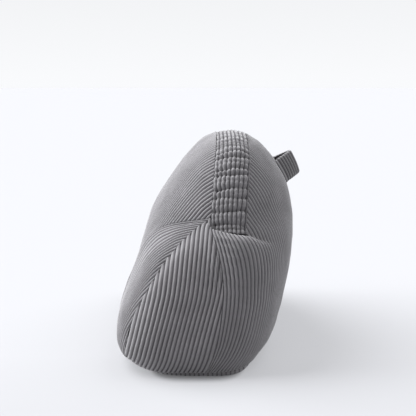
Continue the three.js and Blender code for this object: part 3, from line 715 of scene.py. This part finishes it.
# Features of the pile's patterns to a metre: streaks across and along the wales, and the rest
STREAKS = (2000, 260, 1)
PATCHES = 40.0
SPECKS = 900.0


def corduroy():
    """Brushed cotton corduroy, wide wale: matt, with a short pile that stands up in ridges."""
    found = bpy.data.materials.get("brushed cotton corduroy")
    if found:
        return found
    sizes = bpy.context.scene.pillow_sizes
    material = bpy.data.materials.new("brushed cotton corduroy")
    material.use_nodes = True
    tree = material.node_tree
    tree.nodes.clear()
    uv = add_node(tree, "ShaderNodeUVMap", uv_map="wales").outputs["UV"]
    parts = add_node(tree, "ShaderNodeSeparateXYZ", {"Vector": uv})
    # 0 in a groove and 1 on a crest, once a wale
    turn = add_node(tree, "ShaderNodeMath", {0: parts.outputs["X"], 1: math.pi / sizes.wale_pitch},
                    operation="MULTIPLY")
    sine = add_node(tree, "ShaderNodeMath", {0: turn.outputs[0]}, operation="SINE")
    crest = add_node(tree, "ShaderNodeMath", {0: sine.outputs[0]}, operation="ABSOLUTE").outputs[0]
    # pile fibres: streaks 0.5 mm wide and 4 mm long down the wales
    stretch = add_node(tree, "ShaderNodeMapping", {"Vector": uv, "Scale": STREAKS})
    streaks = add_node(tree, "ShaderNodeTexNoise", {
        "Vector": stretch.outputs[0], "Scale": 1.0, "Detail": 3.0})
    # the pile brushed one way or another in patches of about 25 mm
    where = add_node(tree, "ShaderNodeTexCoord").outputs["Object"]
    patches = add_node(tree, "ShaderNodeTexNoise", {"Vector": where, "Scale": PATCHES, "Detail": 2.0})
    # tufts of pile about 1.1 mm across, which only roughen the surface
    specks = add_node(tree, "ShaderNodeTexNoise", {"Vector": where, "Scale": SPECKS, "Detail": 2.0})
    # the grooves are darker than the crests: partly the ground cloth's own colour, partly painted shade in
    # the grooves
    groove_shade_mix = add_node(tree, "ShaderNodeMapRange", {0: crest, 1: 0.05, 2: 0.7, 3: 0.0, 4: 1.0})
    ground = add_node(tree, "ShaderNodeMix", {
        "Factor": groove_shade_mix.outputs[0], "A": sizes.groove_colour_and_shade, "B": sizes.pile_colour,
    }, data_type="RGBA")
    return finish_corduroy(material, tree, ground, crest, streaks, patches, specks)


def finish_corduroy(material, tree, ground, crest, streaks, patches, specks):
    """Adds the pile's unevenness, bump and sheen."""
    streak = add_node(tree, "ShaderNodeMapRange", {
        0: streaks.outputs["Fac"], 1: 0.3, 2: 0.7, 3: 0.9, 4: 1.1})
    patch = add_node(tree, "ShaderNodeMapRange", {
        0: patches.outputs["Fac"], 1: 0.3, 2: 0.7, 3: 0.94, 4: 1.06})
    both = add_node(tree, "ShaderNodeMath", {
        0: streak.outputs[0], 1: patch.outputs[0]}, operation="MULTIPLY")
    # ground holds the pile and groove colours, with the painted shade in the grooves
    shade = add_node(tree, "ShaderNodeVectorMath", {
        0: ground.outputs["Result"], "Scale": both.outputs[0]}, operation="SCALE")
    height = add_node(tree, "ShaderNodeMath", {
        0: streaks.outputs["Fac"], 1: specks.outputs["Fac"]}, operation="ADD")
    bump = add_node(tree, "ShaderNodeBump", {
        "Height": height.outputs[0], "Strength": 0.25, "Distance": 0.0002})
    # the pile's tips stand up on the crests and catch the light that grazes them
    tips = add_node(tree, "ShaderNodeMapRange", {0: crest, 1: 0.35, 2: 1.0, 3: 0.0, 4: 0.6})
    shader = add_node(tree, "ShaderNodeBsdfPrincipled", {
        "Base Color": shade.outputs[0], "Roughness": 0.95, "Specular IOR Level": 0.2,
        "Sheen Weight": tips.outputs[0], "Sheen Roughness": 0.4, "Normal": bump.outputs[0],
    })
    add_node(tree, "ShaderNodeOutputMaterial", {"Surface": shader.outputs[0]})
    return material


# Where the floor's glow is cut back round the pillow into a painted contact shadow, in metres: half the
# patch's length, and the middle and half of its depth
CONTACT_HALF_LENGTH = 0.237
CONTACT_MIDDLE = -0.014
CONTACT_HALF_DEPTH = 0.063


def from_middle(tree, place, middle, half):
    """The fourth power of a place's distance from a middle, counted in half widths."""
    share = add_node(tree, "ShaderNodeMapRange", {
        0: place, 1: middle, 2: middle + half, 3: 0.0, 4: 1.0}, clamp=False)
    away = add_node(tree, "ShaderNodeMath", {0: share.outputs[0]}, operation="ABSOLUTE")
    return add_node(tree, "ShaderNodeMath", {0: away.outputs[0], 1: 4.0}, operation="POWER").outputs[0]


def glowing_floor_with_painted_shade(colour, glow):
    """Quite matt, and glowing though it is no lamp: painted light that keeps the shadows on it faint."""
    material = bpy.data.materials.new("glowing floor with painted shade")
    material.use_nodes = True
    tree = material.node_tree
    shader = tree.nodes["Principled BSDF"]
    shader.inputs["Base Color"].default_value = colour
    shader.inputs["Roughness"].default_value = 1.0
    shader.inputs["Specular IOR Level"].default_value = 0.0
    shader.inputs["Emission Color"].default_value = linear("#f1f2f6")
    where = add_node(tree, "ShaderNodeTexCoord").outputs["Object"]
    parts = add_node(tree, "ShaderNodeSeparateXYZ", {"Vector": where})
    # painted shade: the floor glows less near the camera, so it is darker there
    lit = add_node(tree, "ShaderNodeMapRange", {
        0: parts.outputs["X"], 1: 0.15, 2: 0.45, 3: glow, 4: glow * 0.8})
    # and less right round the pillow: a painted contact shadow
    away = add_node(tree, "ShaderNodeMath", {
        0: from_middle(tree, parts.outputs["X"], 0.0, CONTACT_HALF_LENGTH),
        1: from_middle(tree, parts.outputs["Y"], CONTACT_MIDDLE, CONTACT_HALF_DEPTH),
    }, operation="ADD")
    shade = add_node(tree, "ShaderNodeMapRange", {
        0: away.outputs[0], 1: 1.0, 2: 1.6, 3: 0.3, 4: 1.0}, interpolation_type="SMOOTHERSTEP")
    glows = add_node(tree, "ShaderNodeMath", {0: lit.outputs[0], 1: shade.outputs[0]}, operation="MULTIPLY")
    tree.links.new(glows.outputs[0], shader.inputs["Emission Strength"])
    return material


# Sizes and colours

class PillowSizes(bpy.types.PropertyGroup):
    """What a maker would change about the cloth"""
    wale_pitch: bpy.props.FloatProperty(
        name="Wale pitch", description="Distance from one wale to the next", default=0.0056, unit="LENGTH")
    wale_height: bpy.props.FloatProperty(
        name="Wale height", description="Height of the pile above its grooves", default=0.0022,
        unit="LENGTH")
    cloth_thickness: bpy.props.FloatProperty(
        name="Cloth thickness", description="Thickness under the pile", default=0.0014, unit="LENGTH")
    pucker_depth: bpy.props.FloatProperty(
        name="Pucker depth", description="How deep the gathered strip's creases are", default=0.001,
        unit="LENGTH")
    pile_colour: bpy.props.FloatVectorProperty(
        name="Pile colour", description="Colour of the pile", size=4, subtype="COLOR",
        default=linear("#7c7a7c"), min=0, max=1)
    # partly the ground cloth's own colour, partly painted shade in the grooves between the wales
    groove_colour_and_shade: bpy.props.FloatVectorProperty(
        name="Groove colour", description="Colour of the ground cloth between the wales", size=4,
        subtype="COLOR", default=linear("#504e51"), min=0, max=1)


class StageSizes(bpy.types.PropertyGroup):
    """Light, floor and camera"""
    # the floor glows though it is no lamp: its glow is painted light that keeps the shadows on it faint
    floor_colour: bpy.props.FloatVectorProperty(
        name="Floor colour", description="Colour of the light table", size=4, subtype="COLOR",
        default=linear("#8a8a8c"), min=0, max=1)
    floor_glow: bpy.props.FloatProperty(
        name="Floor glow", description="Light that comes through the floor", default=0.42, min=0)
    backdrop_colour: bpy.props.FloatVectorProperty(
        name="Backdrop colour", description="Colour of the light from all round", size=4, subtype="COLOR",
        default=linear("#f3f4f6"), min=0, max=1)
    backdrop: bpy.props.FloatProperty(
        name="Backdrop", description="Strength of the light from all round", default=1.0, min=0)
    backdrop_front: bpy.props.FloatProperty(
        name="Backdrop in front", description="Share of that light that comes from the camera's side",
        default=0.46, min=0)
    key_power: bpy.props.FloatProperty(
        name="Key light", description="Strength of the large soft light", default=5.3, min=0)
    key_softness: bpy.props.FloatProperty(
        name="Key softness", description="How wide the large light is, seen from the pillow",
        default=math.radians(60), subtype="ANGLE")
    fill_power: bpy.props.FloatProperty(
        name="Fill light", description="Strength of the low light from the same side", default=1.8, min=0)
    top_power: bpy.props.FloatProperty(
        name="Top light", description="Strength of the light from above and behind", default=1.6, min=0)
    camera_distance: bpy.props.FloatProperty(
        name="Camera distance", description="From the origin along the pillow", default=1.35, unit="LENGTH")
    camera_height: bpy.props.FloatProperty(
        name="Camera height", description="Above the floor", default=0.367, unit="LENGTH")
    camera_pitch: bpy.props.FloatProperty(
        name="Camera pitch", description="How far it looks down", default=math.radians(8), subtype="ANGLE")
    lens: bpy.props.FloatProperty(
        name="Lens", description="Focal length on a 36 mm sensor", default=80.74, unit="CAMERA")


# Pieces

SIDES = (("right", 1), ("left", -1))


class PILLOW_OT_filling(bpy.types.Operator):
    """Makes the stuffed filling that the panels are stretched over"""
    bl_idname = "pillow.filling"
    bl_label = "Filling"

    def execute(self, context):
        bm = bmesh.new()
        bmesh.ops.create_uvsphere(bm, u_segments=160, v_segments=96, radius=1)
        mesh = bpy.data.meshes.new("filling")
        bm.to_mesh(mesh)
        bm.free()
        flat = np.zeros(len(mesh.vertices) * 3)
        mesh.vertices.foreach_get("co", flat)
        ball = flat.reshape(-1, 3)
        rise = np.arccos(np.clip(-ball[:, 2], -1, 1)) / math.pi
        turn = np.arctan2(ball[:, 1], ball[:, 0])
        place = np.clip((rise - FILLING_DISC) / (1 - FILLING_DISC), 0, 1) * (TOP - 0.001)
        z = np.interp(place, LEVELS, BY_LEVEL[:, 0])
        p = on_section(z, rim_share(turn) * np.interp(place, LEVELS, TOTAL))
        p[:, 0] *= np.where(np.cos(turn) < 0, -1, 1)
        off_strip = np.abs(p[:, 1] - strip_middle(p[:, 2]))
        under_strip = smooth(STRIP_HALF_WIDTH + 4, STRIP_HALF_WIDTH - 4, off_strip)
        under_strip = under_strip * smooth(150, 180, p[:, 2])
        q = p + normal(p) * (swell(p) - FILLING_INSET - FILLING_UNDER_STRIP * under_strip)[:, None]
        q[:, 2] = np.maximum(q[:, 2], FILLING_FLOOR)
        disc = np.clip(rise / FILLING_DISC, 0, 1)[:, None]
        middle = np.array([0, SECTIONS[0, 4], FILLING_FLOOR])
        q = np.where(disc < 1, middle + (q - middle) * disc, q)
        piece = cloth_piece(mesh, q, np.zeros((len(q), 2)), 0)
        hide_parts("pillow_body")
        return {"FINISHED"}


class PILLOW_OT_front(bpy.types.Operator):
    """Sews in the front panel"""
    bl_idname = "pillow.front"
    bl_label = "Front panel"

    def execute(self, context):
        point, half = front_panel()
        wales = 2 * round(half / (context.scene.pillow_sizes.wale_pitch / MM))
        piece = cloth_panel("front_panel_cloth", point, (-half, half), wales, 70, (0, 0, 0.1, 0.9),
                            seed=1)
        stretched(piece, 2 * half, FRONT_FLAT_LENGTH)
        return {"FINISHED"}


class PILLOW_OT_back(bpy.types.Operator):
    """Sews on the back panel"""
    bl_idname = "pillow.back"
    bl_label = "Back panel"

    def execute(self, context):
        half = BACK_SEAM_GIRTH
        piece = cloth_panel("back_panel_cloth", back_panel(), (-half, half), BACK_WALES, 84,
                            (0.2, 0.2, 0.2, 0.9), seed=3, fine=6, first=0.12, drawn=(0.6, 0.6))
        stretched(piece, 2 * half, BACK_FLAT_LENGTH)
        return {"FINISHED"}


class PILLOW_OT_ends(bpy.types.Operator):
    """Sews in the end panel and the side-front panel at each end"""
    bl_idname = "pillow.ends"
    bl_label = "End panels"

    def execute(self, context):
        for name, side in SIDES:
            end = cloth_panel(f"end_panel_cloth_{name}",
                              lambda line, down: end_panel_point(line, down, side),
                              (END_FROM, END_TO), END_WALES, 90, (0, 0, 0.1, 0.9), seed=5,
                              drawn=(0, 0.5))
            stretched(end, *END_FLAT)
            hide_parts(f"end_panel_{name}")
            front = cloth_panel(f"side_front_panel_cloth_{name}",
                                lambda share, down: side_panel_point(share, down, side),
                                (0, 1), SIDE_WALES, 72, (0.2, 0, 0.1, 0.9), seed=7, fine=10)
            stretched(front, *SIDE_FLAT)
            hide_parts(f"side_front_panel_{name}")
        return {"FINISHED"}


# Where the strip's puckers cross it, from its end that the camera sees up to the crown, and how deep
PUCKERS = np.array([
    (6, 3.0), (12.5, 4.0), (20, 1.4), (30, 4.4), (38.5, 1.3), (47.5, 3.6), (53.5, 1.3), (60, 4.4), (70, 1.4),
    (80, 3.8), (89, 3.6), (98, 1.6), (109, 4.0), (121, 3.2), (129, 1.6), (137, 3.6), (148, 3.4), (163, 4.2),
    (190, 4.6), (224, 5.0), (262, 4.0),
])
DEEP_PUCKER = 3
CREASE_WIDTH = 2.1
CREASE_WIDER = 1.4
CROWN_WIDER = 4
CREASE_POWER = 1.3
FAR_TWIST = 2.1
PUFF = 1.3
PUFF_WIDTH = 7
STRIP_SINK = 0.8
CROWN_SINK = 1.8


def puckers(across, down):
    """The strip's gathers: creases across it, with the cloth puffed between the deep ones."""
    place = down * CREST_LENGTH
    far = place > CREST_LENGTH / 2
    place = np.where(far, CREST_LENGTH - place, place)
    twist = np.where(far, FAR_TWIST, 0.0)
    total = np.zeros_like(place)
    nearest = np.full_like(place, 99.0)
    for k, (at, depth) in enumerate(PUCKERS):
        wander = (0.9 * np.sin(across * 0.13 + k * 1.9 + twist) + 0.3 * np.sin(across * 0.42 + k * 2.7)
                  + 0.05 * across)
        fade = 0.8 + 0.2 * np.sin(across * 0.11 + k * 2.3 + 1.7 * twist)
        away = np.abs(place - at - wander)
        width = CREASE_WIDTH + CREASE_WIDER * smooth(110, 170, at) + CROWN_WIDER * smooth(155, 190, at)
        total = total - depth * fade * np.exp(-(away / width) ** CREASE_POWER)
        if depth > DEEP_PUCKER:
            nearest = np.minimum(nearest, away)
    by_edge = 0.4 + 0.6 * smooth(0, 4, STRIP_HALF_WIDTH - np.abs(across))
    puffed = (total + PUFF * smooth(0, PUFF_WIDTH, nearest)) * by_edge
    return puffed + 0.4 * np.sin(across * 0.3 + place * 0.37)


class PILLOW_OT_strip(bpy.types.Operator):
    """Sews the gathered strip over the top"""
    bl_idname = "pillow.strip"
    bl_label = "Gathered strip"

    def execute(self, context):
        edge = STRIP_HALF_WIDTH
        depth = context.scene.pillow_sizes.pucker_depth / MM

        def folds(across, down):
            low = np.minimum(down, 1 - down) * CREST_LENGTH
            sunk = depth * puckers(across, down) - STRIP_SINK + STRIP_SINK * smooth(0, 60, low)
            return sunk - CROWN_SINK * smooth(100, 170, low)

        piece = cloth_panel("gathered_strip_cloth", strip_point, (-edge, edge), 8, 560, (0.1, 0.1, 1.2, 1.2),
                            seed=2, first=0.3, wobble=0.4, fold=folds, hold=True)
        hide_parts("gathered_strip")
        return {"FINISHED"}


class PILLOW_OT_base(bpy.types.Operator):
    """Sews on the base panel, flat but for its rim, which turns up to the base seam"""
    bl_idname = "pillow.base"
    bl_label = "Base panel"

    def execute(self, context):
        sizes = context.scene.pillow_sizes
        cells = 110
        mesh, column, row = grid_mesh("base_panel_cloth", cells, cells)
        a, b = 2 * column / cells - 1, 2 * row / cells - 1
        out = np.maximum(np.abs(a), np.abs(b))
        turn = np.arctan2(b, a)
        share = rim_share(turn)
        round_base = np.interp(level_of(BASE_SEAM), LEVELS, TOTAL)
        rim = on_section(np.full_like(out, BASE_SEAM), share * round_base)
        seam = base_seam(rim[:, 0], rim[:, 1])
        up = np.clip((out - BASE_FLAT_SHARE) / (1 - BASE_FLAT_SHARE), 0, 1)
        z = (seam + BASE_TUCK) * up ** BASE_TURN
        p = on_section(z, share * np.interp(level_of(z), LEVELS, TOTAL))
        middle = np.array([0, SECTIONS[0, 4], 0])
        flat = middle + (p - middle) * (out / BASE_FLAT_SHARE)[:, None]
        p = np.where((out < BASE_FLAT_SHARE)[:, None], flat, p)
        inset = BASE_INSET + up ** 6
        p[:, 0] -= inset * np.sign(p[:, 0]) * smooth(0, 30, np.abs(p[:, 0]))
        p[:, 0] *= np.where(np.cos(turn) < 0, -1, 1)
        pitch = sizes.wale_pitch / MM
        phase = p[:, 1] / pitch
        ribs = BASE_RIBS * (1 - rib(phase)) * (out < 0.999)
        p[:, 2] = np.maximum(p[:, 2] + BASE_CLEAR + ribs, BASE_CLEAR)
        piece = cloth_piece(mesh, p, np.stack([phase * pitch, p[:, 0]], -1), sizes.cloth_thickness / MM,
                            outward=np.array([0, 0, -1.0]))
        stretched(piece, *BASE_FLAT)
        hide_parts("base_panel")
        return {"FINISHED"}


def loop_path():
    """The strap's middle line, out from the pillow, from one foot over the fold to the other."""
    t = np.linspace(1, 0, 81)
    soft = np.sqrt(t * t + LOOP_FOLD ** 2) - LOOP_FOLD
    out = LOOP_SEAM + (LOOP_RISE - LOOP_SEAM) * (1 - soft) * (1 + LOOP_BULGE * soft)
    x = np.concatenate([LOOP_REACH + LOOP_FOOT_PAST, LOOP_REACH * t])
    out = np.concatenate([LOOP_SEAM * LOOP_FOOT_HIGH, out])
    x, out = np.concatenate([-x, x[-2::-1]]), np.concatenate([out, out[-2::-1]])
    return x, out, np.concatenate([[0], np.cumsum(np.hypot(np.diff(x), np.diff(out)))])


class PILLOW_OT_loop(bpy.types.Operator):
    """Sews the carry loop on the back"""
    bl_idname = "pillow.loop"
    bl_label = "Carry loop"

    def execute(self, context):
        sizes = context.scene.pillow_sizes
        path_x, path_out, path_along = loop_path()
        length = path_along[-1]
        wales = round(length / LOOP_PITCH)
        columns, rows = wales * 12, 18
        mesh, column, row = grid_mesh("carry_loop_cloth", columns, rows)
        along = column / columns * length
        x, out = np.interp(along, path_along, path_x), np.interp(along, path_along, path_out)
        before, after = np.clip(along - 1, 0, length), np.clip(along + 1, 0, length)
        dx = np.interp(after, path_along, path_x) - np.interp(before, path_along, path_x)
        dout = np.interp(after, path_along, path_out) - np.interp(before, path_along, path_out)
        run = np.hypot(dx, dout)
        width = row / rows
        edge = np.minimum(width, 1 - width) * LOOP_WIDTH
        phase = along / length * wales
        from_foot = np.minimum(along, length - along)
        ribs = LOOP_RIBS * sizes.wale_height / MM * rib(phase)
        ribs = ribs * smooth(LOOP_RIBS_FROM, LOOP_RIBS_FULL, from_foot)
        offset = ribs * smooth(0, 0.8, edge) + LOOP_PUFF * smooth(0, 1.5, edge) ** 0.5
        x, out = x - dout / run * offset, out + dx / run * offset
        n = normal(np.array([0, section(np.array(float(LOOP_HEIGHT)))[2], LOOP_HEIGHT]))
        z = LOOP_HEIGHT - (width - 0.5) * LOOP_WIDTH * n[1]
        half, _, back, tip, _, back_square = section(z)
        y = tip + (back - tip) * np.clip(1 - (np.abs(x) / half) ** back_square, 0, 1) ** (1 / back_square)
        d = LOOP_CLEAR + out * (1 + LOOP_TIP * (z - LOOP_HEIGHT) / LOOP_RISE)
        p = np.stack([x, y + n[1] * d, z + n[2] * d], -1)
        wale_uv = np.stack([phase * sizes.wale_pitch / MM, width * LOOP_WIDTH], -1)
        piece = cloth_piece(mesh, p, wale_uv, LOOP_THICKNESS, outward=n[None] * [0, 1, 1])
        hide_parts("carry_loop")
        return {"FINISHED"}


# Where the three lights shine from, and the point inside the pillow that they aim at
KEY_FROM = (-0.7, -1.3, 1.55)
FILL_FROM = (0.1, -1.9, 0.55)
TOP_FROM = (-0.8, 1.0, 1.6)
LIGHT_AIM = (0, 0, 0.12)
LIGHT_COLOUR = (0.965, 0.98, 1.0)


def studio(stage):
    """The light from all round, darker on the camera's side, which is +X."""
    world = bpy.data.worlds.new("studio")
    world.use_nodes = True
    tree = world.node_tree
    background = tree.nodes["Background"]
    background.inputs["Color"].default_value = stage.backdrop_colour
    towards = add_node(tree, "ShaderNodeTexCoord").outputs["Generated"]
    parts = add_node(tree, "ShaderNodeSeparateXYZ", {"Vector": towards})
    dimmed = add_node(tree, "ShaderNodeMapRange", {
        0: parts.outputs["X"], 1: -0.8, 2: 0.8, 3: stage.backdrop, 4: stage.backdrop * stage.backdrop_front})
    # a little brighter at the horizon, where it meets the glowing floor
    horizon = add_node(tree, "ShaderNodeMapRange", {
        0: parts.outputs["Z"], 1: 0.0, 2: 0.08, 3: 1.06, 4: 1.0})
    both = add_node(tree, "ShaderNodeMath", {
        0: dimmed.outputs[0], 1: horizon.outputs[0]}, operation="MULTIPLY")
    tree.links.new(both.outputs[0], background.inputs["Strength"])
    return world


class PILLOW_OT_stage(bpy.types.Operator):
    """Sets the floor, the light and the camera"""
    bl_idname = "pillow.stage"
    bl_label = "Stage"

    def execute(self, context):
        stage = context.scene.pillow_stage
        context.scene.view_settings.view_transform = "Standard"
        bm = bmesh.new()
        bmesh.ops.create_grid(bm, x_segments=1, y_segments=1, size=30)
        mesh = bpy.data.meshes.new("floor")
        bm.to_mesh(mesh)
        bm.free()
        floor = bpy.data.objects.new("floor", mesh)
        context.scene.collection.objects.link(floor)
        # the floor glows though it is no lamp: painted light, with painted shade near the camera and a
        # painted contact shadow round the pillow
        mesh.materials.append(glowing_floor_with_painted_shade(stage.floor_colour, stage.floor_glow))
        context.scene.world = studio(stage)

        for name, power, softness, place in (
                ("key", stage.key_power, stage.key_softness, KEY_FROM),
                ("fill", stage.fill_power, stage.key_softness / 2, FILL_FROM),
                ("top", stage.top_power, stage.key_softness * 0.8, TOP_FROM)):
            light = bpy.data.lights.new(name, "SUN")
            light.energy = power
            light.angle = softness
            light.color = LIGHT_COLOUR
            lamp = bpy.data.objects.new(name, light)
            lamp.location = place
            lamp.rotation_euler = (Vector(LIGHT_AIM) - lamp.location).to_track_quat("-Z", "Y").to_euler()
            context.scene.collection.objects.link(lamp)

        data = bpy.data.cameras.new("camera")
        data.lens = stage.lens
        data.sensor_width = 36
        camera = bpy.data.objects.new("camera", data)
        camera.location = (stage.camera_distance, 0, stage.camera_height)
        camera.rotation_euler = (math.pi / 2 - stage.camera_pitch, 0, math.pi / 2)
        context.scene.collection.objects.link(camera)
        context.scene.camera = camera
        return {"FINISHED"}


class PILLOW_PT_panel(bpy.types.Panel):
    """Lists the pillow's sizes and steps"""
    bl_idname = "PILLOW_PT_panel"
    bl_label = "Corduroy pillow"
    bl_space_type = "VIEW_3D"
    bl_region_type = "UI"
    bl_category = "Pillow"

    def draw(self, context):
        for group in (context.scene.pillow_sizes, context.scene.pillow_stage):
            for name in group.bl_rna.properties.keys():
                if name not in ("rna_type", "name"):
                    self.layout.prop(group, name)
        for operator in OPERATORS:
            self.layout.operator(operator.bl_idname)


OPERATORS = (PILLOW_OT_stage, PILLOW_OT_filling, PILLOW_OT_front, PILLOW_OT_back, PILLOW_OT_ends,
             PILLOW_OT_strip, PILLOW_OT_base, PILLOW_OT_loop)
CLASSES = (PillowSizes, StageSizes, *OPERATORS, PILLOW_PT_panel)


def register():
    for cls in CLASSES:
        bpy.utils.register_class(cls)
    bpy.types.Scene.pillow_sizes = bpy.props.PointerProperty(type=PillowSizes)
    bpy.types.Scene.pillow_stage = bpy.props.PointerProperty(type=StageSizes)


def unregister():
    del bpy.types.Scene.pillow_stage
    del bpy.types.Scene.pillow_sizes
    for cls in reversed(CLASSES):
        bpy.utils.unregister_class(cls)


def main():
    register()
    for operator in OPERATORS:
        getattr(bpy.ops.pillow, operator.bl_idname.split(".")[1])()


if __name__ == "__main__":
    main()
